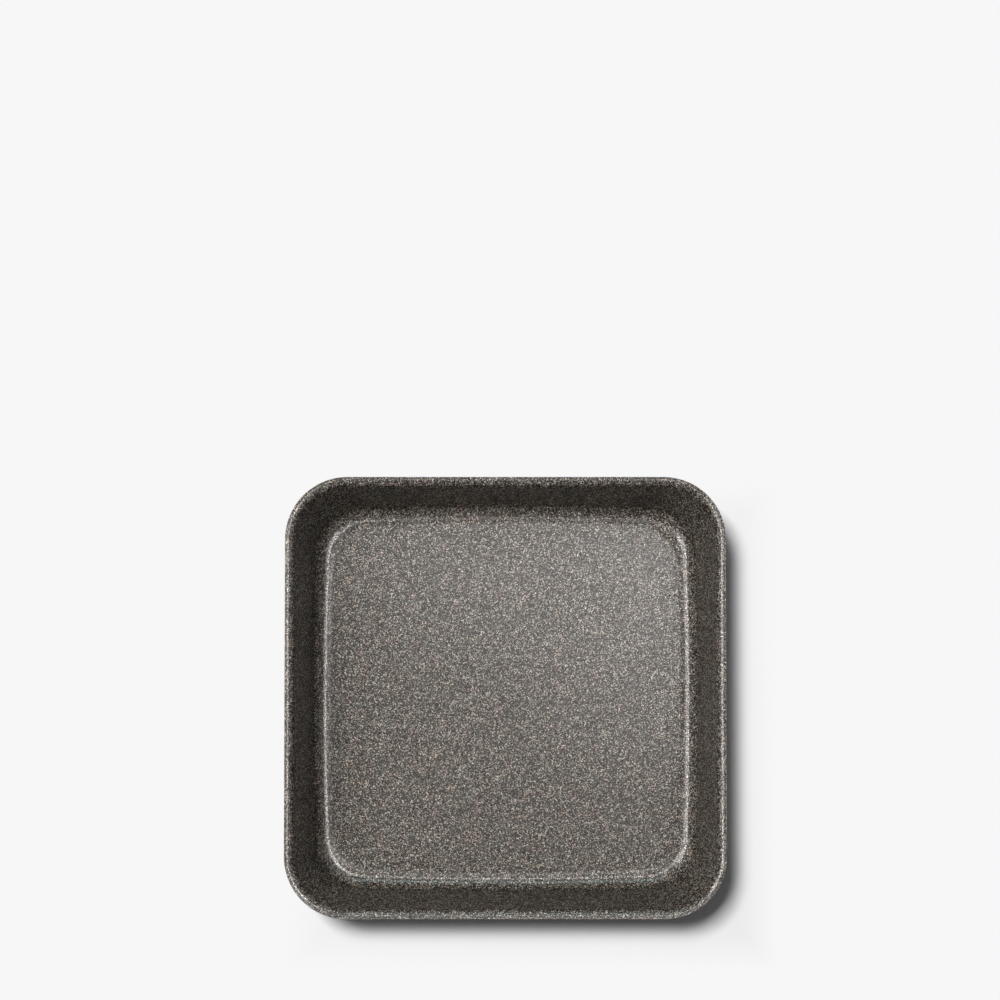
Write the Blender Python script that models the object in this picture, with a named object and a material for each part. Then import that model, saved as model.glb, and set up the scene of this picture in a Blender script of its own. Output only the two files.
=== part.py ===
"""Square baking pan: a drawn aluminium shell with a speckled coat inside and a plain coat outside.

Metres, +Z up. The origin is the middle of the base's underside.

The finished sheet is described once, as a row of stations from the floor's edge, up the wall and out to
the lip. Each station has a point on the pan's inside surface and the direction that the surface faces.
The three layers are the same stations taken at their own depths below the inside surface, so they follow
each other at every size.
"""

import math

import bmesh
import bpy

# Overall size
RIM_WIDTH = 0.240
HEIGHT = 0.052
RIM_CORNER_RADIUS = 0.034

# The sheet and its finishes
METAL_THICKNESS = 0.0011
COAT_THICKNESS = 0.00015
BOND_GAP = 0.00005

# The wall and the floor
WALL_LEAN = math.radians(8.9)
FLOOR_FILLET = 0.010
FLOOR_BOW = 0.0026
CORNER_EASE = 0.45

# The lip flares out in one curve and still rises where it ends
LIP_BEND = 0.0038
LIP_RISE = math.radians(10)
LIP_LAND = 0.0003
LIP_EDGE_ROUND = 0.0003

# Steps in the mesh
CORNER_STEPS = 8
SIDE_STEPS = 4
FILLET_STEPS = 6
BEND_STEPS = 4
EDGE_STEPS = 2
SHARP_ANGLE = math.radians(40)

# The finished sheet is the metal with a coat and a bond gap on each face
SHEET = METAL_THICKNESS + 2 * (COAT_THICKNESS + BOND_GAP)
METAL_TOP = COAT_THICKNESS + BOND_GAP
METAL_UNDERSIDE = METAL_TOP + METAL_THICKNESS
RIM_HALF = RIM_WIDTH / 2

# Directions that the inside surface faces, as angles in the section from outward to up
FACING_UP = math.pi / 2
FACING_IN = math.pi - WALL_LEAN
FACING_LIP = FACING_UP + LIP_RISE

# The bend's centre lies below the lip, placed so that the rounds of the lip's edge reach the pan's limits:
# the lower round its width, and the upper one its height
BEND_TOP_RADIUS = LIP_BEND + SHEET
LAND_OUT = LIP_LAND * math.cos(LIP_RISE)
LAND_UP = LIP_LAND * math.sin(LIP_RISE)
UPPER_ROUND_RADIUS = BEND_TOP_RADIUS - LIP_EDGE_ROUND
LOWER_ROUND_RADIUS = LIP_BEND + LIP_EDGE_ROUND
BEND_CENTRE_OUT = RIM_HALF - LIP_EDGE_ROUND - LAND_OUT + LOWER_ROUND_RADIUS * math.sin(LIP_RISE)
BEND_CENTRE_Z = HEIGHT - LIP_EDGE_ROUND - LAND_UP - UPPER_ROUND_RADIUS * math.cos(LIP_RISE)

# The fillet's centre lies inside the pan, where the straight wall is tangent to fillet and bend
FILLET_CENTRE_Z = SHEET + FLOOR_FILLET
WALL_OFFSET = (BEND_CENTRE_Z - FILLET_CENTRE_Z) * math.sin(WALL_LEAN) + BEND_TOP_RADIUS + FLOOR_FILLET
FILLET_CENTRE_OUT = BEND_CENTRE_OUT - WALL_OFFSET / math.cos(WALL_LEAN)

# The wall's top on the inside surface, from which the corners ease and the sides bow
WALL_TOP_OUT = BEND_CENTRE_OUT + BEND_TOP_RADIUS * math.cos(FACING_IN)
WALL_TOP_Z = BEND_CENTRE_Z + BEND_TOP_RADIUS * math.sin(FACING_IN)

# Each finish's name, linear colour, roughness and metallic value
ALUMINIUM = ("aluminium", (0.60, 0.60, 0.61), 0.35, 1.0)
STONE_COAT = ("stone_coat", (0.120, 0.112, 0.100), 0.40, 0.0)
CHARCOAL_COAT = ("charcoal_coat", (0.045, 0.044, 0.043), 0.50, 0.0)


def blend(start, end, share):
    """The value that lies a share of the way from start to end."""
    return start + (end - start) * share


def sheet_stations():
    """Stations from the floor's edge to the lip: out and z on the inside surface, and the way it faces."""
    stations = []
    for step in range(FILLET_STEPS + 1):
        facing = blend(FACING_UP, FACING_IN, step / FILLET_STEPS)
        out = FILLET_CENTRE_OUT - FLOOR_FILLET * math.cos(facing)
        z = FILLET_CENTRE_Z - FLOOR_FILLET * math.sin(facing)
        stations.append((out, z, facing))
    for step in range(BEND_STEPS + 1):
        facing = blend(FACING_IN, FACING_LIP, step / BEND_STEPS)
        out = BEND_CENTRE_OUT + BEND_TOP_RADIUS * math.cos(facing)
        z = BEND_CENTRE_Z + BEND_TOP_RADIUS * math.sin(facing)
        stations.append((out, z, facing))
    return stations


def lip_corner_radius(out):
    """Plan radius of the lip's corner at a distance out from the middle: a pure offset of its edge."""
    return RIM_CORNER_RADIUS - (RIM_HALF - out)


def plan_section(out, z, corner_radius, bow):
    """One level ring: a square with round corners, whose sides swell outward by bow at their middles."""
    half = out - bow
    centre = half - corner_radius
    quarter = []
    for step in range(CORNER_STEPS + 1):
        angle = FACING_UP * step / CORNER_STEPS
        quarter.append((centre + corner_radius * math.cos(angle), centre + corner_radius * math.sin(angle)))
    for step in range(1, SIDE_STEPS):
        quarter.append((blend(centre, -centre, step / SIDE_STEPS), half))

    bowed = []
    for x, y in quarter:
        across, along = x / half, y / half
        bowed.append((x + bow * across * (1 - along**2), y + bow * along * (1 - across**2)))

    ring = []
    for _ in range(4):
        ring += [(x, y, z) for x, y in bowed]
        bowed = [(-y, x) for x, y in bowed]
    return ring


def layer_surface(depth):
    """Rings of the surface that lies at a depth below the inside surface, from the floor to the lip."""
    rings = []
    for out, z, facing in sheet_stations():
        drop = max(0.0, WALL_TOP_Z - z)
        shift = -depth * math.cos(facing)
        if drop > 0:
            corner = lip_corner_radius(WALL_TOP_OUT) - CORNER_EASE * (WALL_TOP_OUT - out) + shift
        else:
            corner = lip_corner_radius(out + shift)
        bow = FLOOR_BOW * drop / (WALL_TOP_Z - SHEET)
        rings.append(plan_section(out + shift, z - depth * math.sin(facing), corner, bow))
    return rings


def lip_ring(out, z):
    """One ring on the lip, whose sides are straight."""
    return plan_section(out, z, lip_corner_radius(out), 0.0)


def on_land(bend_radius, back=0.0):
    """Out and z at the land's end, or back from it, at a radius from the bend's centre."""
    out = BEND_CENTRE_OUT + bend_radius * math.cos(FACING_LIP) + LAND_OUT - back * math.cos(LIP_RISE)
    z = BEND_CENTRE_Z + bend_radius * math.sin(FACING_LIP) + LAND_UP - back * math.sin(LIP_RISE)
    return out, z


def lip_edge(depth):
    """Rings round the lip's edge at a depth below its surface, from the top of the lip to its underside."""
    radius = LIP_EDGE_ROUND - depth
    rings = []
    for bend_radius, first in ((UPPER_ROUND_RADIUS, FACING_LIP), (LOWER_ROUND_RADIUS, LIP_RISE)):
        centre_out, centre_z = on_land(bend_radius)
        for step in range(EDGE_STEPS + 1):
            angle = first - FACING_UP * step / EDGE_STEPS
            rings.append(lip_ring(centre_out + radius * math.cos(angle), centre_z + radius * math.sin(angle)))
    return rings


def skin(body, rings):
    """Faces through the rings, from the floor outward, each quad split along the same diagonal."""
    verts = [[body.verts.new(point) for point in ring] for ring in rings]
    strip(body, verts)
    body.faces.new(verts[0])
    return verts[-1]


def strip(body, verts):
    """Quads between each ring of vertices and the next."""
    quads = []
    for near, far in zip(verts, verts[1:]):
        for index in range(len(near)):
            following = (index + 1) % len(near)
            quads.append(body.faces.new((near[index], near[following], far[following], far[index])))
    bmesh.ops.triangulate(body, faces=quads, quad_method="FIXED")


def layer_body(name, upper_rings, lower_rings, finish, collection):
    """A closed body between two skins that both run from the floor to the lip."""
    mesh = bpy.data.meshes.new(name)
    body = bmesh.new()
    upper_end = skin(body, upper_rings)
    lower_end = skin(body, lower_rings)
    strip(body, [upper_end, lower_end])
    bmesh.ops.recalc_face_normals(body, faces=body.faces)
    body.to_mesh(mesh)
    body.free()
    mesh.shade_smooth()
    mesh.set_sharp_from_angle(angle=SHARP_ANGLE)
    mesh.materials.append(finish_material(*finish))
    layer = bpy.data.objects.new(name, mesh)
    collection.objects.link(layer)
    return layer


def finish_material(name, colour, roughness, metallic):
    """A plain material with the finish's colour and gloss."""
    material = bpy.data.materials.new(name)
    material.use_nodes = True
    shader = material.node_tree.nodes["Principled BSDF"]
    shader.inputs["Base Color"].default_value = (*colour, 1.0)
    shader.inputs["Roughness"].default_value = roughness
    shader.inputs["Metallic"].default_value = metallic
    return material


def pressed_shell(collection):
    """The drawn aluminium sheet, one body from the floor's face round the lip's edge to the base."""
    upper = layer_surface(METAL_TOP) + lip_edge(METAL_TOP)
    lower = layer_surface(METAL_UNDERSIDE)
    return layer_body("pressed_shell", upper, lower, ALUMINIUM, collection)


def interior_coating(collection):
    """The speckled coat on the floor, the wall and the lip's top, turned down round the lip's edge."""
    upper = layer_surface(0.0) + lip_edge(0.0)
    lower = layer_surface(COAT_THICKNESS) + lip_edge(COAT_THICKNESS)
    return layer_body("interior_coating", upper, lower, STONE_COAT, collection)


def exterior_coating(collection):
    """The plain coat from the lip's underside down the wall and under the base."""
    upper = layer_surface(SHEET - COAT_THICKNESS) + [lip_ring(*on_land(LIP_BEND + COAT_THICKNESS, BOND_GAP))]
    lower = layer_surface(SHEET) + [lip_ring(*on_land(LIP_BEND, BOND_GAP))]
    return layer_body("exterior_coating", upper, lower, CHARCOAL_COAT, collection)


def main():
    for old in list(bpy.data.objects):
        bpy.data.objects.remove(old, do_unlink=True)
    collection = bpy.data.collections.new("square_baking_pan")
    bpy.context.scene.collection.children.link(collection)

    shell = pressed_shell(collection)
    interior_coating(collection).parent = shell
    exterior_coating(collection).parent = shell


main()
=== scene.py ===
# %% [markdown]
# # A square baking pan with a speckled coat
# The real pan is one sheet of aluminium, pressed to shape and sprayed with two finishes. Its imported model is
# plain and faceted, and it fixes every size. This lesson keeps those sizes and gives the pan the smooth
# surfaces, the stone-like flecks and the charcoal outside of the real one.
# The first cell loads the imported model and sets up a helper that reads the box round each of its parts.

# %% Load the imported pan
import math

import bmesh
import bpy
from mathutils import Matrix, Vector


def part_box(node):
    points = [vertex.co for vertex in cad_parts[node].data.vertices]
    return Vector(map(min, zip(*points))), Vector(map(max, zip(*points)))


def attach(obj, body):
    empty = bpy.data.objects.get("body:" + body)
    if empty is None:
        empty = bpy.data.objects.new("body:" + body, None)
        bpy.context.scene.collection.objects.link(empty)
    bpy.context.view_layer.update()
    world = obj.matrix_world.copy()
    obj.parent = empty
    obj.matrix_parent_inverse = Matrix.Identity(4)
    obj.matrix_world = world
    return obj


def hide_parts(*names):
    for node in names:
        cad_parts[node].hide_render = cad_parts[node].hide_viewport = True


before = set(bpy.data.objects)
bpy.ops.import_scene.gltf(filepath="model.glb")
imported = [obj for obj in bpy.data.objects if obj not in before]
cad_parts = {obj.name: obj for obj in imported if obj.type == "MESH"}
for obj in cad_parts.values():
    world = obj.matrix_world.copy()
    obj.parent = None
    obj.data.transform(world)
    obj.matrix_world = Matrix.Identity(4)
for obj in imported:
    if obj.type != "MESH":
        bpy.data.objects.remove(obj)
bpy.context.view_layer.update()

print("packed nodes:", sorted(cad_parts))

# %% [markdown]
# ## The pan's sizes
# A box round each packed layer gives most of the sizes: the lip's reach, the height and where each layer's
# faces lie. The shape between those places needs a few more values, which are the bends and the lean that
# the press tool gave the sheet. They are written once here, in metres, and all three layers share them.

# %% Read the sizes
inside_low, inside_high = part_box("interior_coating")
metal_low, metal_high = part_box("pressed_shell")

RIM_HALF = inside_high.x
HEIGHT = inside_high.z
COAT = 0.00015
SHEET = inside_low.z + COAT
METAL_TOP = metal_low.z
METAL_UNDERSIDE = SHEET - METAL_TOP
BOND_GAP = METAL_TOP - COAT

RIM_CORNER_RADIUS = 0.034
WALL_LEAN = math.radians(8.9)
FLOOR_FILLET = 0.010
FLOOR_BOW = 0.0026
CORNER_EASE = 0.45
LIP_BEND = 0.0038
LIP_RISE = math.radians(10)
LIP_LAND = 0.0003
LIP_EDGE_ROUND = 0.0003
print("sheet", round(1000 * SHEET, 3), "mm, bond gap", round(1000 * BOND_GAP, 3), "mm")

# %% [markdown]
# ## The section of the sheet
# Cut the pan in half and the sheet shows as one line: flat floor, round foot, leaning wall and a lip that
# flares out in one curve and still rises a little where it ends. A row of stations describes that line. Each
# one holds a point of the inside surface and the way the surface faces there, so any other layer is found by
# stepping back along that direction. Arcs keep their centres when they are stepped back, which is why the
# layers never meet.

# %% Stations along the section
FILLET_STEPS = 24
WALL_STEPS = 10
BEND_STEPS = 16

FACING_UP = math.pi / 2
FACING_IN = math.pi - WALL_LEAN
FACING_LIP = FACING_UP + LIP_RISE
BEND_TOP_RADIUS = LIP_BEND + SHEET
UPPER_ROUND_RADIUS = BEND_TOP_RADIUS - LIP_EDGE_ROUND
LOWER_ROUND_RADIUS = LIP_BEND + LIP_EDGE_ROUND
LAND_OUT = LIP_LAND * math.cos(LIP_RISE)
LAND_UP = LIP_LAND * math.sin(LIP_RISE)
BEND_CENTRE_OUT = RIM_HALF - LIP_EDGE_ROUND - LAND_OUT + LOWER_ROUND_RADIUS * math.sin(LIP_RISE)
BEND_CENTRE_Z = HEIGHT - LIP_EDGE_ROUND - LAND_UP - UPPER_ROUND_RADIUS * math.cos(LIP_RISE)
FILLET_CENTRE_Z = SHEET + FLOOR_FILLET
WALL_OFFSET = (BEND_CENTRE_Z - FILLET_CENTRE_Z) * math.sin(WALL_LEAN) + BEND_TOP_RADIUS + FLOOR_FILLET
FILLET_CENTRE_OUT = BEND_CENTRE_OUT - WALL_OFFSET / math.cos(WALL_LEAN)
WALL_TOP_OUT = BEND_CENTRE_OUT + BEND_TOP_RADIUS * math.cos(FACING_IN)
WALL_TOP_Z = BEND_CENTRE_Z + BEND_TOP_RADIUS * math.sin(FACING_IN)


def between(start, end, share):
    """The value that lies a share of the way from start to end."""
    return start + (end - start) * share


def arc_stations(centre, radius, first, last, steps):
    """Stations on an arc whose radius is negative where the surface faces its centre."""
    facings = [between(first, last, step / steps) for step in range(steps + 1)]
    return [(centre[0] + radius * math.cos(a), centre[1] + radius * math.sin(a), a) for a in facings]


def sheet_stations():
    """Distance out, height and facing of the inside surface, from the floor's edge to the lip."""
    foot_centre = (FILLET_CENTRE_OUT, FILLET_CENTRE_Z)
    bend_centre = (BEND_CENTRE_OUT, BEND_CENTRE_Z)
    foot = arc_stations(foot_centre, -FLOOR_FILLET, FACING_UP, FACING_IN, FILLET_STEPS)
    bend = arc_stations(bend_centre, BEND_TOP_RADIUS, FACING_IN, FACING_LIP, BEND_STEPS)
    wall = []
    for step in range(1, WALL_STEPS):
        share = step / WALL_STEPS
        out = between(foot[-1][0], bend[0][0], share)
        z = between(foot[-1][1], bend[0][1], share)
        wall.append((out, z, FACING_IN))
    return foot + wall + bend


stations = sheet_stations()
print("stations:", len(stations), "floor's half width in mm:", round(1000 * stations[0][0], 2))

# %% [markdown]
# ## The plan of the pan
# Seen from above, each level of the pan is a square with round corners. Two things keep it from being a plain
# offset of the rim. The corners tighten more slowly than the walls close in, because the press tool's
# corners are full, and the sides swell outward a little towards the floor, where the metal sprang back.
# A rounded rectangle from a modifier could do neither, so a short formula gives each ring of points.

# %% One ring of the plan
CORNER_STEPS = 40
SIDE_STEPS = 24


def plan_ring(out, z, corner_radius, bow):
    """A level ring: a square with round corners whose sides swell outward by bow at their middles."""
    half = out - bow
    centre = half - corner_radius
    angles = [FACING_UP * step / CORNER_STEPS for step in range(CORNER_STEPS + 1)]
    quarter = [(centre + corner_radius * math.cos(a), centre + corner_radius * math.sin(a)) for a in angles]
    quarter += [(between(centre, -centre, step / SIDE_STEPS), half) for step in range(1, SIDE_STEPS)]

    bowed = []
    for x, y in quarter:
        across, along = x / half, y / half
        bowed.append((x + bow * across * (1 - along**2), y + bow * along * (1 - across**2)))

    ring = []
    for _ in range(4):
        ring += [(x, y, z) for x, y in bowed]
        bowed = [(-y, x) for x, y in bowed]
    return ring


def lip_corner_radius(out):
    """Plan radius of the lip's corner, a pure offset of its edge."""
    return RIM_CORNER_RADIUS - (RIM_HALF - out)


def lip_ring(out, z):
    """A ring on the lip, whose sides are straight."""
    return plan_ring(out, z, lip_corner_radius(out), 0.0)


print("points in a ring:", len(lip_ring(RIM_HALF, HEIGHT)))

# %% [markdown]
# ## Surfaces through the rings
# A layer's surface is the stack of its rings at one depth below the inside face. The lip's edge is two small
# quarter rounds, which also step back with the depth. One more ring lies just inside the floor's edge: it
# keeps the shading of the flat floor flat, where a single big face would borrow the slope of the round foot.

# %% Rings of a layer
EDGE_STEPS = 8
FLOOR_INSET = 0.0008


def layer_surface(depth):
    """Rings of the surface at a depth below the inside face, from the floor to the lip."""
    top_corner = lip_corner_radius(WALL_TOP_OUT)
    rings = []
    for out, z, facing in stations:
        shift = -depth * math.cos(facing)
        drop = max(0.0, WALL_TOP_Z - z)
        eased = top_corner - CORNER_EASE * (WALL_TOP_OUT - out) + shift
        corner = eased if drop > 0 else lip_corner_radius(out + shift)
        bow = FLOOR_BOW * drop / (WALL_TOP_Z - SHEET)
        rings.append(plan_ring(out + shift, z - depth * math.sin(facing), corner, bow))
    inset = 1 - FLOOR_INSET / FILLET_CENTRE_OUT
    floor_ring = [(x * inset, y * inset, z) for x, y, z in rings[0]]
    return [floor_ring] + rings


def on_land(bend_radius, back=0.0):
    """Out and height at the end of the lip's straight land, or back from it, at a radius from the bend."""
    out = BEND_CENTRE_OUT + bend_radius * math.cos(FACING_LIP) + LAND_OUT - back * math.cos(LIP_RISE)
    z = BEND_CENTRE_Z + bend_radius * math.sin(FACING_LIP) + LAND_UP - back * math.sin(LIP_RISE)
    return out, z


def lip_edge(depth):
    """Rings round the lip's edge at a depth below its surface, from its top to its underside."""
    radius = LIP_EDGE_ROUND - depth
    ends = LIP_RISE - FACING_UP
    rounds = arc_stations(on_land(UPPER_ROUND_RADIUS), radius, FACING_LIP, LIP_RISE, EDGE_STEPS)
    rounds += arc_stations(on_land(LOWER_ROUND_RADIUS), radius, LIP_RISE, ends, EDGE_STEPS)
    return [lip_ring(out, z) for out, z, _ in rounds]


print("rings from floor to lip:", len(layer_surface(0.0)))

# %% [markdown]
# ## A closed layer
# A layer is two skins that both run from the floor to the lip, joined by one strip at the lip's end. Solidify
# could thicken a single skin, but it measures along averaged normals, and these layers lie 0.05 mm apart.
# Building both skins from the same stations keeps that gap everywhere.

# %% Build a layer
SHARP_ANGLE = math.radians(40)


def skin_faces(body, rings):
    """Quads through the rings and a flat face on the first one. Returns the last ring's vertices."""
    verts = [[body.verts.new(point) for point in ring] for ring in rings]
    join_rings(body, verts)
    body.faces.new(verts[0])
    return verts[-1]


def join_rings(body, verts):
    """Quads between each ring of vertices and the next."""
    for near, far in zip(verts, verts[1:]):
        for index in range(len(near)):
            following = (index + 1) % len(near)
            body.faces.new((near[index], near[following], far[following], far[index]))


def layer_piece(name, upper_rings, lower_rings, node):
    """A closed body between two skins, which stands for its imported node."""
    body = bmesh.new()
    join_rings(body, [skin_faces(body, upper_rings), skin_faces(body, lower_rings)])
    bmesh.ops.recalc_face_normals(body, faces=body.faces)
    mesh = bpy.data.meshes.new(name)
    body.to_mesh(mesh)
    body.free()
    mesh.shade_smooth()
    mesh.set_sharp_from_angle(angle=SHARP_ANGLE)
    piece = bpy.data.objects.new(name, mesh)
    bpy.context.scene.collection.objects.link(piece)
    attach(piece, "root")
    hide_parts(node)
    print(name, "faces:", len(mesh.polygons))
    return piece


print("edges sharper than", round(math.degrees(SHARP_ANGLE)), "degrees stay crisp")

# %% [markdown]
# ## The three layers
# The metal runs from the floor's face round the lip's edge to the base. The speckled coat covers the floor,
# the wall, the lip's top and the lip's edge. The plain coat starts under the lip and covers the outside
# and the base, so the two coats share one thin parting line where nobody looks.

# %% Metal, inside coat and outside coat
metal = layer_piece(
    "drawn_metal",
    layer_surface(METAL_TOP) + lip_edge(METAL_TOP),
    layer_surface(METAL_UNDERSIDE),
    "pressed_shell",
)
inside_coat = layer_piece(
    "speckled_inside_coat",
    layer_surface(0.0) + lip_edge(0.0),
    layer_surface(COAT) + lip_edge(COAT),
    "interior_coating",
)
outside_coat = layer_piece(
    "charcoal_outside_coat",
    layer_surface(SHEET - COAT) + [lip_ring(*on_land(LIP_BEND + COAT, BOND_GAP))],
    layer_surface(SHEET) + [lip_ring(*on_land(LIP_BEND, BOND_GAP))],
    "exterior_coating",
)

# %% [markdown]
# ## Helpers for node materials
# Every finish here is made from noise and cell patterns in the object's own space, so it wraps round bends
# without seams and needs no picture files. A few small helpers keep the node code short. The first ones add a
# node with its settings, do one sum on values or vectors, and move a value from one range to another.

# %% Node helpers
def new_finish(name):
    """A material with its node tree and its shader."""
    material = bpy.data.materials.new(name)
    material.use_nodes = True
    tree = material.node_tree
    return material, tree, tree.nodes["Principled BSDF"]


def add_node(tree, kind, inputs=None, **settings):
    """A node with its settings. An input takes a value, or another node's socket as a link."""
    node = tree.nodes.new(kind)
    for key, value in settings.items():
        setattr(node, key, value)
    for key, value in (inputs or {}).items():
        if isinstance(value, bpy.types.NodeSocket):
            tree.links.new(value, node.inputs[key])
        else:
            node.inputs[key].default_value = value
    return node


def math_node(tree, operation, first, second=0.0, clamp=False):
    """The result of one sum on two values or sockets."""
    settings = {"operation": operation, "use_clamp": clamp}
    return add_node(tree, "ShaderNodeMath", {0: first, 1: second}, **settings).outputs["Value"]


def vector_node(tree, operation, first, second=(0.0, 0.0, 0.0)):
    """The result of one sum on two vectors or sockets."""
    node = add_node(tree, "ShaderNodeVectorMath", {0: first, 1: second}, operation=operation)
    return node.outputs["Vector"]


def map_range(tree, value, from_low, from_high, to_low=0.0, to_high=1.0, easing="LINEAR"):
    """A value moved from one range to another and kept inside it."""
    inputs = {"Value": value, "From Min": from_low, "From Max": from_high}
    inputs |= {"To Min": to_low, "To Max": to_high}
    return add_node(tree, "ShaderNodeMapRange", inputs, interpolation_type=easing).outputs["Result"]


node_helpers = (new_finish, add_node, math_node, vector_node, map_range)
print("node helpers:", ", ".join(helper.__name__ for helper in node_helpers))

# %% [markdown]
# ## Helpers for colour and relief
# Four more helpers give what a finish is made of: a noise of a stated size, a colour for each value, one
# colour laid over another, and a shallow relief. Sizes and lifts are real ones, in metres, so they can be
# compared with the grain of a real coat.

# %% Colour and relief helpers
def noise(tree, place, size, detail=1.0):
    """The outputs of a noise whose blobs are about as wide as size."""
    inputs = {"Vector": place, "Scale": 1 / size, "Detail": detail}
    return add_node(tree, "ShaderNodeTexNoise", inputs).outputs


def ramp(tree, factor, stops, interpolation="LINEAR"):
    """A colour ramp with stops of place and linear colour."""
    node = add_node(tree, "ShaderNodeValToRGB", {"Fac": factor})
    node.color_ramp.interpolation = interpolation
    elements = node.color_ramp.elements
    while len(elements) < len(stops):
        elements.new(1.0)
    for element, (place, colour) in zip(elements, stops):
        element.position = place
        element.color = (*colour, 1.0)
    return node.outputs["Color"]


def mix_colour(tree, factor, below, above, blend_type="MIX"):
    """Above laid over below, or combined with it, where factor is 1."""
    node = add_node(tree, "ShaderNodeMix", data_type="RGBA", blend_type=blend_type)
    for socket, value in ((node.inputs[0], factor), (node.inputs[6], below), (node.inputs[7], above)):
        if isinstance(value, bpy.types.NodeSocket):
            tree.links.new(value, socket)
        else:
            socket.default_value = value
    return node.outputs[2]


def add_relief(tree, shader, height, lift):
    """A shallow relief, where lift is how far up a height of 1 stands."""
    bump = add_node(tree, "ShaderNodeBump", {"Height": height, "Distance": lift})
    tree.links.new(bump.outputs["Normal"], shader.inputs["Normal"])


finish_helpers = (noise, ramp, mix_colour, add_relief)
print("finish helpers:", ", ".join(helper.__name__ for helper in finish_helpers))

# %% [markdown]
# ## The speckled coat
# A stone-look coat is a dark film full of paint grains: dark and grey ones packed closely, with slightly
# larger cream, tan and black specks between them. Two kinds of cell pattern copy that. In the first, every
# cell is a grain and gets one tone from a short list, most of them dark. In the second, a cell holds one
# round speck, or none, and its random numbers say which size and tint. The tones are picked by share, so the
# coat's average stays a dark warm grey.

# %% Speckled coat colours
GRAIN_SIZE = 0.00043
GRAIN_TONES = (
    (0.00, (0.006, 0.005, 0.004)),
    (0.48, (0.032, 0.029, 0.025)),
    (0.67, (0.170, 0.155, 0.137)),
    (0.83, (0.375, 0.345, 0.306)),
    (0.94, (0.700, 0.646, 0.572)),
)
WARM_TO_COOL = ((0.0, (1.06, 0.98, 0.93)), (0.5, (1.0, 1.0, 1.0)), (1.0, (0.94, 1.01, 1.0)))
CREAM = (0.60, 0.55, 0.47)
WARM_GREY = (0.34, 0.31, 0.28)
COOL_GREY = (0.27, 0.30, 0.29)
TAN = (0.46, 0.37, 0.30)
NEAR_BLACK = (0.014, 0.013, 0.011)

# cell size, share of cells with a speck, smallest and largest radius, tints (one named twice comes up more)
SPECKS = (
    (0.0012, 0.30, 0.00022, 0.00036, (WARM_GREY, COOL_GREY, TAN)),
    (0.0014, 0.40, 0.00026, 0.00046, (NEAR_BLACK, NEAR_BLACK)),
    (0.0022, 0.30, 0.00026, 0.00044, (CREAM, TAN, CREAM)),
)
SPECK_EDGE = 0.06
WOBBLE_SIZE = 0.0006
WOBBLE = 0.0003
TINT_PATCH = 0.007
PATCH_TINTS = ((0.35, (1.05, 0.985, 0.965)), (0.65, (0.96, 1.005, 0.995)))
print("grains in a square centimetre, about:", round((0.01 / GRAIN_SIZE) ** 2))

# %% [markdown]
# ## Where the specks go
# A speck's mask compares its radius with the distance to its cell's middle. A fine noise moves the whole
# pattern about before it is read, so that no speck is a clean disc.

# %% Speck patterns
def bent_coordinates(tree, place):
    """Coordinates moved about by up to WOBBLE each way, with a fine noise."""
    fine = noise(tree, place, WOBBLE_SIZE, detail=2.0)["Color"]
    centred = vector_node(tree, "SUBTRACT", fine, (0.5, 0.5, 0.5))
    moved = vector_node(tree, "MULTIPLY", centred, (2 * WOBBLE, 2 * WOBBLE, 2 * WOBBLE))
    return vector_node(tree, "ADD", place, moved)


def cell_dice(tree, coords, cell):
    """A cell pattern and the random numbers of its cells."""
    cells = add_node(tree, "ShaderNodeTexVoronoi", {"Vector": coords, "Scale": 1 / cell})
    dice = add_node(tree, "ShaderNodeSeparateColor", {"Color": cells.outputs["Color"]})
    return cells, dice.outputs


def speck_layer(tree, coords, cell, share, smallest, largest, tints):
    """Mask and tint of one kind of speck."""
    cells, dice = cell_dice(tree, coords, cell)
    radius = map_range(tree, dice[0], 1 - share, 1.0, smallest / cell, largest / cell)
    inside = math_node(tree, "SUBTRACT", radius, cells.outputs["Distance"])
    round_mask = map_range(tree, inside, 0.0, SPECK_EDGE)
    holds = math_node(tree, "GREATER_THAN", dice[0], 1 - share)
    stops = [(index / len(tints), tint) for index, tint in enumerate(tints)]
    return math_node(tree, "MULTIPLY", round_mask, holds), ramp(tree, dice[1], stops, "CONSTANT")


print("kinds of speck:", len(SPECKS), "largest in mm:", round(2000 * max(kind[3] for kind in SPECKS), 2))

# %% [markdown]
# ## The coat's colour
# The grains come first, each a little warm or cool. Every kind of speck is then laid over what is there: the
# greys, the blacks and last the creams. A broad and very faint mottle tints the whole coat, because no spray
# is perfectly even. Multiplying by tints close to white keeps the tones that the grains were given.

# %% Colour of the speckled coat
def coat_colour(tree, place, coords, dice):
    """Grains, the specks over them and a faint mottle."""
    grains = ramp(tree, dice[0], GRAIN_TONES, "CONSTANT")
    colour = mix_colour(tree, 1.0, grains, ramp(tree, dice[1], WARM_TO_COOL), "MULTIPLY")
    for speck in SPECKS:
        mask, tint = speck_layer(tree, coords, *speck)
        colour = mix_colour(tree, mask, colour, tint)
    patches = noise(tree, place, TINT_PATCH)["Fac"]
    return mix_colour(tree, 1.0, colour, ramp(tree, patches, PATCH_TINTS), "MULTIPLY")


speck_tints = {tint for kind in SPECKS for tint in kind[4]}
print("tones of grain:", len(GRAIN_TONES), "tints of speck:", len(speck_tints))

# %% [markdown]
# ## The coat's gloss
# The film is glossy where it covers a grain well, and dull in the dark pores between them. So the darkest
# cells are rough, and each of the others draws its own small roughness, which breaks a lamp's reflection into
# sparks. On the walls, which the press stretched, the film is duller all over.
# A smooth film would turn into a mirror at a low angle. On this one the grains stand in each other's way, so
# its gloss fades there, and the walls stay dark when the pan is seen from above. Layer Weight's Facing output
# tells the angle: it is 0 where the surface is seen square on, and 1 at its edge.

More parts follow.
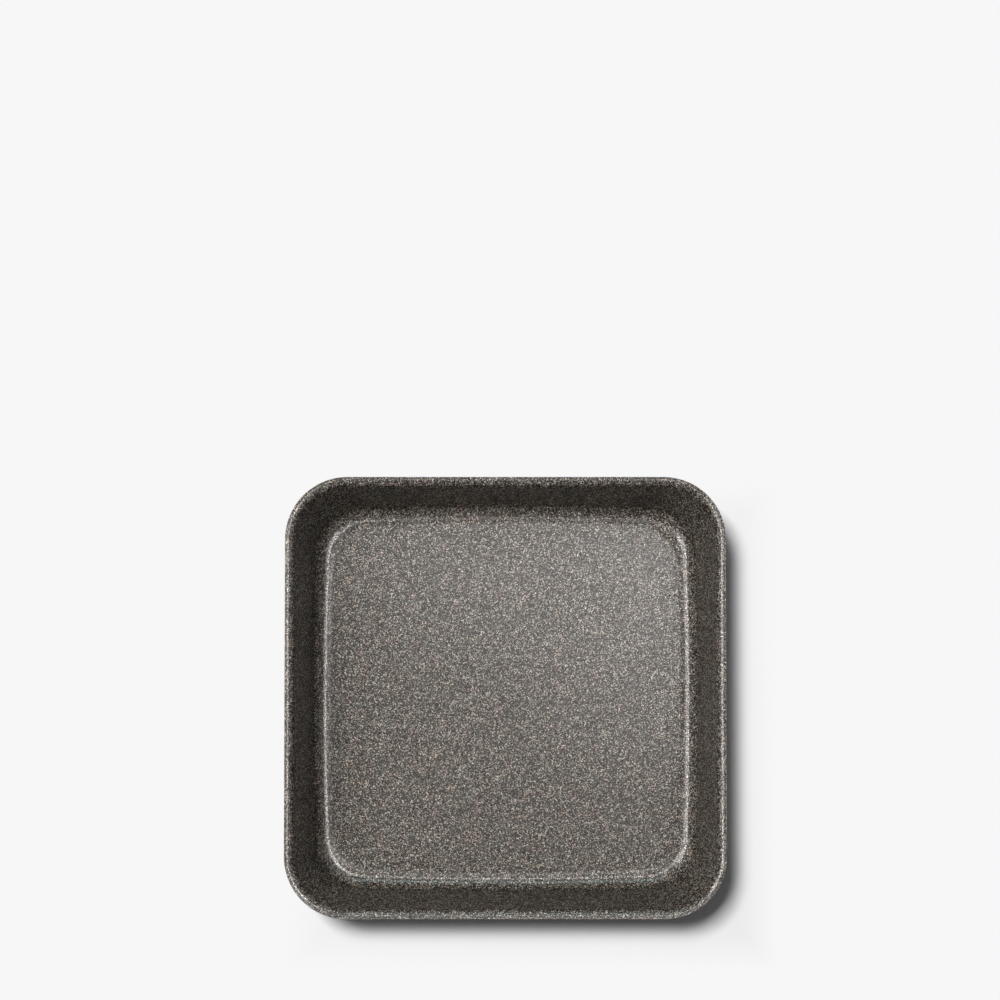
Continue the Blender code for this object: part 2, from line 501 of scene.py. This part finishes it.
# %% Gloss of the speckled coat
GLOSSIEST = 0.10
LEAST_GLOSSY = 0.24
PORE_SHARE = 0.34
PORE_ROUGHNESS = 0.60
WALL_FACING = (0.85, 0.45)
WALL_ROUGHNESS = 0.42
GRAZING = (0.12, 0.50)
GLOSS_LEVEL = 0.5
GRAZING_LEVEL = 0.07


def coat_gloss(tree, shader, facing_up, dice):
    """Roughness and strength of the film's reflections."""
    film = map_range(tree, dice[2], 0.0, 1.0, GLOSSIEST, LEAST_GLOSSY)
    pore = math_node(tree, "LESS_THAN", dice[0], PORE_SHARE)
    dull = math_node(tree, "MULTIPLY", pore, PORE_ROUGHNESS)
    sprayed = math_node(tree, "MAXIMUM", film, dull)
    on_wall = map_range(tree, facing_up, *WALL_FACING)
    rough = add_node(tree, "ShaderNodeMix", {0: on_wall, 2: sprayed, 3: WALL_ROUGHNESS}).outputs[0]
    tree.links.new(rough, shader.inputs["Roughness"])
    low_angle = add_node(tree, "ShaderNodeLayerWeight").outputs["Facing"]
    level = map_range(tree, low_angle, *GRAZING, GLOSS_LEVEL, GRAZING_LEVEL)
    tree.links.new(level, shader.inputs["Specular IOR Level"])


print("roughness of the film:", GLOSSIEST, "to", LEAST_GLOSSY, "of the pores:", PORE_ROUGHNESS)

# %% [markdown]
# ## The speckled coat as one finish
# The sheet is coated before the press draws it, which stretches the coat on the walls. So the pattern is read
# at two thirds of the real height, which makes the specks on the walls longer and leaves those on the flat
# floor as they are. A shallow relief like orange peel breaks the highlights up further.

# %% Speckled coat material
WALL_DRAW = 1.5
PEEL_SIZE = 0.0006
PEEL_LIFT = 0.00003


def speckled_coat():
    """The stone-look finish."""
    material, tree, shader = new_finish("speckled_stone_coat")
    where = add_node(tree, "ShaderNodeTexCoord").outputs
    drawn = vector_node(tree, "MULTIPLY", where["Object"], (1.0, 1.0, 1 / WALL_DRAW))
    coords = bent_coordinates(tree, drawn)
    _, dice = cell_dice(tree, coords, GRAIN_SIZE)
    tree.links.new(coat_colour(tree, where["Object"], coords, dice), shader.inputs["Base Color"])
    add_relief(tree, shader, noise(tree, coords, PEEL_SIZE)["Fac"], PEEL_LIFT)
    facing_up = add_node(tree, "ShaderNodeSeparateXYZ", {"Vector": where["Normal"]}).outputs["Z"]
    coat_gloss(tree, shader, facing_up, dice)
    return material


inside_coat.data.materials.append(speckled_coat())
print("nodes in the speckled coat:", len(inside_coat.data.materials[0].node_tree.nodes))

# %% [markdown]
# ## The outside coat
# Outside, the pan has one plain charcoal coat. Sprayed and baked, it keeps a fine grain that softens every
# highlight, and a faint mottle where the spray lay thicker. One noise at the grain's size makes the tone, the
# gloss and the relief together, since on the real coat all three come from the same droplets.

# %% Charcoal coat material
SPRAY_GRAIN = 0.0005
SPRAY_MOTTLE = 0.009
SPRAY_LIFT = 0.000012
SPRAY_ROUGHNESS = (0.50, 0.42)
MOST_OF_A_NOISE = (0.3, 0.7)
CHARCOAL_TONES = ((0.35, (0.040, 0.039, 0.038)), (0.65, (0.058, 0.056, 0.055)))
MOTTLE_TINTS = ((0.35, (1.05, 0.99, 0.97)), (0.65, (0.95, 1.0, 1.01)))


def charcoal_coat():
    """The plain outside finish, with the fine grain of a sprayed coat and a faint mottle."""
    material, tree, shader = new_finish("charcoal_outside_coat")
    place = add_node(tree, "ShaderNodeTexCoord").outputs["Object"]
    grain = noise(tree, place, SPRAY_GRAIN)["Fac"]
    mottle = noise(tree, place, SPRAY_MOTTLE)["Fac"]
    tone = ramp(tree, grain, CHARCOAL_TONES)
    tint = ramp(tree, mottle, MOTTLE_TINTS)
    tree.links.new(mix_colour(tree, 1.0, tone, tint, "MULTIPLY"), shader.inputs["Base Color"])
    add_relief(tree, shader, grain, SPRAY_LIFT)
    rough = map_range(tree, grain, *MOST_OF_A_NOISE, *SPRAY_ROUGHNESS)
    tree.links.new(rough, shader.inputs["Roughness"])
    return material


outside_coat.data.materials.append(charcoal_coat())
print("charcoal tones:", [tone for _, tone in CHARCOAL_TONES])

# %% [markdown]
# ## The metal
# Rolling leaves long faint scratches in a sheet, all in one direction, and drawing doesn't remove them. A
# noise squeezed across that direction copies them in the gloss and as a very shallow relief. Both coats hide
# the metal here, but its piece keeps this finish for any view that takes a coat away.

# %% Rolled metal material
ALUMINIUM = (0.60, 0.60, 0.61, 1.0)
ROLL_LENGTH = 0.030
ROLL_WIDTH = 0.00025
ROLL_LIFT = 0.000004
ROLL_ROUGHNESS = (0.28, 0.42)


def rolled_metal():
    """Bare aluminium sheet with the marks of the rolls."""
    material, tree, shader = new_finish("drawn_aluminium")
    shader.inputs["Base Color"].default_value = ALUMINIUM
    shader.inputs["Metallic"].default_value = 1.0
    place = add_node(tree, "ShaderNodeTexCoord").outputs["Object"]
    squeeze = (1 / ROLL_LENGTH, 1 / ROLL_WIDTH, 1 / ROLL_WIDTH)
    lines = noise(tree, vector_node(tree, "MULTIPLY", place, squeeze), 1.0, detail=3.0)["Fac"]
    add_relief(tree, shader, lines, ROLL_LIFT)
    rough = map_range(tree, lines, *MOST_OF_A_NOISE, *ROLL_ROUGHNESS)
    tree.links.new(rough, shader.inputs["Roughness"])
    return material


metal.data.materials.append(rolled_metal())
print("finishes:", sorted(material.name for material in bpy.data.materials if material.users))

# %% [markdown]
# ## The ground
# The ground and the backdrop are plain and pale. A lamp of its own lights the ground from high on the left
# and behind, so that the pan's shadow stays a short soft band in front and on the right. Close to the pan the
# ground is a real matt surface that takes that shadow. Further out it turns into an even glow, so that the
# backdrop stays the same tone to the edge of the picture. The glow comes closer to the pan on its lit sides.
# The ground lies a hair below the base, because two faces in one plane would flicker.

# %% Ground
PALE = 0.93
GROUND_COLOUR = 0.90
GROUND_RADIUS = 4.0
GROUND_SIDES = 96
GROUND_GAP = 0.0001
FADE_START = 0.007
FADE_END = 0.038
SHADOW_SHIFT = 0.0155
CLEAR_START = RIM_HALF + FADE_START - SHADOW_SHIFT
CLEAR_END = RIM_HALF + FADE_END - SHADOW_SHIFT


def seen_directly(tree):
    """1 for rays from the camera, a reflection or a glass, which all show the pale background."""
    path = add_node(tree, "ShaderNodeLightPath").outputs
    direct = math_node(tree, "ADD", path["Is Camera Ray"], path["Is Glossy Ray"])
    return math_node(tree, "ADD", direct, path["Is Transmission Ray"], clamp=True)


def make_ground():
    """A pale ground that keeps the pan's shadow near it and turns into an even backdrop further out."""
    bpy.ops.mesh.primitive_circle_add(vertices=GROUND_SIDES, radius=GROUND_RADIUS, fill_type="NGON")
    disc = bpy.context.object
    disc.name = "studio_ground"
    disc.location.z = -GROUND_GAP
    material, tree, shader = new_finish("studio_ground")
    shader.inputs["Base Color"].default_value = (GROUND_COLOUR, GROUND_COLOUR, GROUND_COLOUR, 1.0)
    shader.inputs["Roughness"].default_value = 1.0
    shader.inputs["Specular IOR Level"].default_value = 0.0
    place = add_node(tree, "ShaderNodeTexCoord").outputs["Object"]
    shifted = vector_node(tree, "SUBTRACT", place, (SHADOW_SHIFT, -SHADOW_SHIFT, 0.0))
    distances = vector_node(tree, "ABSOLUTE", shifted)
    sides = add_node(tree, "ShaderNodeSeparateXYZ", {"Vector": distances}).outputs
    away = math_node(tree, "MAXIMUM", sides["X"], sides["Y"])
    far = map_range(tree, away, CLEAR_START, CLEAR_END, easing="SMOOTHSTEP")
    even = math_node(tree, "MULTIPLY", far, seen_directly(tree))
    glow = add_node(tree, "ShaderNodeEmission", {"Color": (PALE, PALE, PALE, 1.0), "Strength": 1.0})
    mixed = add_node(tree, "ShaderNodeMixShader", {0: even, 1: shader.outputs[0], 2: glow.outputs[0]})
    tree.links.new(mixed.outputs[0], tree.nodes["Material Output"].inputs["Surface"])
    disc.data.materials.append(material)
    return disc


ground = make_ground()
print("the shadow fades out within", round(1000 * FADE_END), "mm of the rim")

# %% [markdown]
# ## The room round it
# The world gives the pan a little even light. The camera sees the pale backdrop at every height. Reflections
# see it only near the horizon, because a white sky overhead would turn the pan's glossy floor milky. The
# height of a ray is the sine of its angle above the horizon.

# %% World
AMBIENT = 0.08
CEILING_START = math.sin(math.radians(7))
CEILING_FULL = math.sin(math.radians(22))


def make_world():
    """A dim room with a pale backdrop for the camera, reflections and glass."""
    world = bpy.data.worlds.new("studio")
    bpy.context.scene.world = world
    world.use_nodes = True
    tree = world.node_tree
    dim = tree.nodes["Background"]
    dim.inputs["Color"].default_value = (1.0, 1.0, 1.0, 1.0)
    dim.inputs["Strength"].default_value = AMBIENT
    pale = add_node(tree, "ShaderNodeBackground", {"Color": (PALE, PALE, PALE, 1.0), "Strength": 1.0})
    direction = add_node(tree, "ShaderNodeTexCoord").outputs["Generated"]
    height = add_node(tree, "ShaderNodeSeparateXYZ", {"Vector": direction}).outputs["Z"]
    backdrop = map_range(tree, height, CEILING_FULL, CEILING_START)
    reflected = math_node(tree, "MULTIPLY", backdrop, seen_directly(tree))
    camera_ray = add_node(tree, "ShaderNodeLightPath").outputs["Is Camera Ray"]
    shown = math_node(tree, "MAXIMUM", reflected, camera_ray)
    mixed = add_node(tree, "ShaderNodeMixShader", {0: shown, 1: dim.outputs[0], 2: pale.outputs[0]})
    tree.links.new(mixed.outputs[0], tree.nodes["World Output"].inputs["Surface"])


make_world()
print("even light:", AMBIENT, "of white, backdrop:", PALE)

# %% [markdown]
# ## Softboxes
# A dark pan shows its light mostly as highlights. Its floor has a soft glow towards the upper right, and thin
# bright lines run where the floor turns up into the walls. So some boxes here give the pan its matt tone and
# others only its gloss, which a lamp's ray visibility decides. Each box is given as the share of white that a
# white card at the pan would show if it faced the box alone, and its power is worked out from that.

# %% Placing of the softboxes
WARM = (1.0, 0.955, 0.93)
NEUTRAL = (1.0, 0.985, 0.965)
TEAL = (0.72, 1.0, 0.99)

# name, part, azimuth from +X, elevation, distance, width, height, level, colour
SOFTBOXES = (
    ("key_on_ground", "ground", 134, 72.5, 2.5, 0.50, 0.50, 0.98, (1.0, 1.0, 1.0)),
    ("key_from_left", "matt", 168, 66, 2.0, 1.20, 0.60, 0.65, WARM),
    ("key_overhead", "matt", 80, 80, 2.0, 0.80, 0.60, 0.32, NEUTRAL),
    ("ceiling", "gloss", 90, 87, 2.0, 0.74, 0.74, 0.022, NEUTRAL),
    ("glow_overhead", "gloss", 60, 81, 2.0, 0.84, 0.50, 0.116, NEUTRAL),
    ("glow_right", "gloss", 30, 76, 2.0, 0.50, 0.36, 0.045, NEUTRAL),
    ("glow_front", "gloss", 270, 65, 2.0, 1.20, 0.34, 0.10, NEUTRAL),
    ("glow_front_right", "gloss", 315, 64, 2.0, 0.60, 0.36, 0.12, NEUTRAL),
    ("strip_front", "gloss", 270, 58, 1.5, 1.60, 0.16, 0.14, NEUTRAL),
    ("strip_right_low", "gloss", 5, 51, 1.5, 1.60, 0.12, 0.34, WARM),
    ("strip_right_high", "gloss", 5, 60.5, 1.5, 1.60, 0.20, 0.86, WARM),
    ("strip_left_low", "gloss", 178, 38.5, 1.5, 1.60, 0.16, 0.80, WARM),
    ("strip_left_high", "gloss", 178, 51, 1.5, 1.60, 0.42, 0.90, WARM),
    ("strip_back_left", "gloss", 135, 55, 1.5, 0.70, 0.25, 0.20, WARM),
    ("strip_back_right", "gloss", 52, 50, 1.5, 0.70, 0.25, 0.28, NEUTRAL),
    ("strip_back_high", "gloss", 90, 53, 1.5, 1.20, 0.16, 0.32, NEUTRAL),
    ("strip_back_low", "gloss", 90, 26, 1.5, 1.20, 0.30, 0.26, TEAL),
)
matt_boxes = [box[0] for box in SOFTBOXES if box[1] == "matt"]
print("softboxes:", len(SOFTBOXES), "of which for the matt tone:", ", ".join(matt_boxes))

# %% [markdown]
# ## Build the lights
# An area light spreads its power over the half space before it, so a card that faces it shows the power over
# (pi x distance) squared. Turning that round gives the power of each box. Light linking, which is a list of
# the objects that a lamp reaches, keeps the pan's boxes off the ground and the ground's box off the pan.

# %% Light the pan and the ground
AIM = (0.0, 0.0, HEIGHT / 2)


def reach_only(lamp, receivers):
    """Let a lamp light only the objects in a list."""
    lit = bpy.data.collections.new(lamp.name + "_reaches")
    for receiver in receivers:
        lit.objects.link(receiver)
    lamp.light_linking.receiver_collection = lit


def softbox(name, azimuth, elevation, distance, width, height, level, colour):
    """An area light aimed at the pan, strong enough to give a facing card the level named."""
    light = bpy.data.lights.new(name, "AREA")
    light.shape = "RECTANGLE"
    light.size = width
    light.size_y = height
    light.color = colour
    light.energy = level * (math.pi * distance) ** 2
    lamp = bpy.data.objects.new(name, light)
    turn, rise = math.radians(azimuth), math.radians(elevation)
    lamp.location = (
        AIM[0] + distance * math.cos(rise) * math.cos(turn),
        AIM[1] + distance * math.cos(rise) * math.sin(turn),
        AIM[2] + distance * math.sin(rise),
    )
    lamp.rotation_euler = (math.pi / 2 - rise, 0.0, turn + math.pi / 2)
    lamp.visible_camera = False
    bpy.context.scene.collection.objects.link(lamp)
    return lamp


for box_name, part, *placing in SOFTBOXES:
    box = softbox(box_name, *placing)
    reach_only(box, [ground] if part == "ground" else [metal, inside_coat, outside_coat])
    box.visible_glossy = part != "matt"
    box.visible_diffuse = part != "gloss"
print("power of the strongest box in watts:", round(max(light.energy for light in bpy.data.lights), 1))

# %% [markdown]
# ## The camera
# The picture looks straight down on the pan, which lies low in a square frame. A camera one metre above the
# rim gives the same spread of the walls. Shift alone would place the pan, but other views of this scene keep
# the shift, so a slight tilt shares the work.

# %% Camera
FRAME_PIXELS = 1000
PAN_PIXELS = 442.5
PAN_CENTRE_PIXEL = (505.5, 697.3)
CAMERA_ABOVE_RIM = 1.0
SENSOR = 36.0
SHIFT_UP = 0.14

focal_pixels = PAN_PIXELS * CAMERA_ABOVE_RIM / (2 * RIM_HALF)
below_middle = PAN_CENTRE_PIXEL[1] - FRAME_PIXELS / 2
tilt = math.atan((below_middle - SHIFT_UP * FRAME_PIXELS) / focal_pixels)

camera_data = bpy.data.cameras.new("above")
camera_data.sensor_width = SENSOR
camera_data.lens = SENSOR * focal_pixels / FRAME_PIXELS
camera_data.shift_x = (FRAME_PIXELS / 2 - PAN_CENTRE_PIXEL[0]) / FRAME_PIXELS
camera_data.shift_y = SHIFT_UP
camera = bpy.data.objects.new("above", camera_data)
camera.location = (0.0, 0.0, HEIGHT + CAMERA_ABOVE_RIM)
camera.rotation_euler = (tilt, 0.0, 0.0)
bpy.context.scene.collection.objects.link(camera)
bpy.context.scene.camera = camera
bpy.context.scene.view_settings.view_transform = "Standard"
print("lens", round(camera_data.lens, 1), "mm, tilt", round(math.degrees(tilt), 2), "degrees")
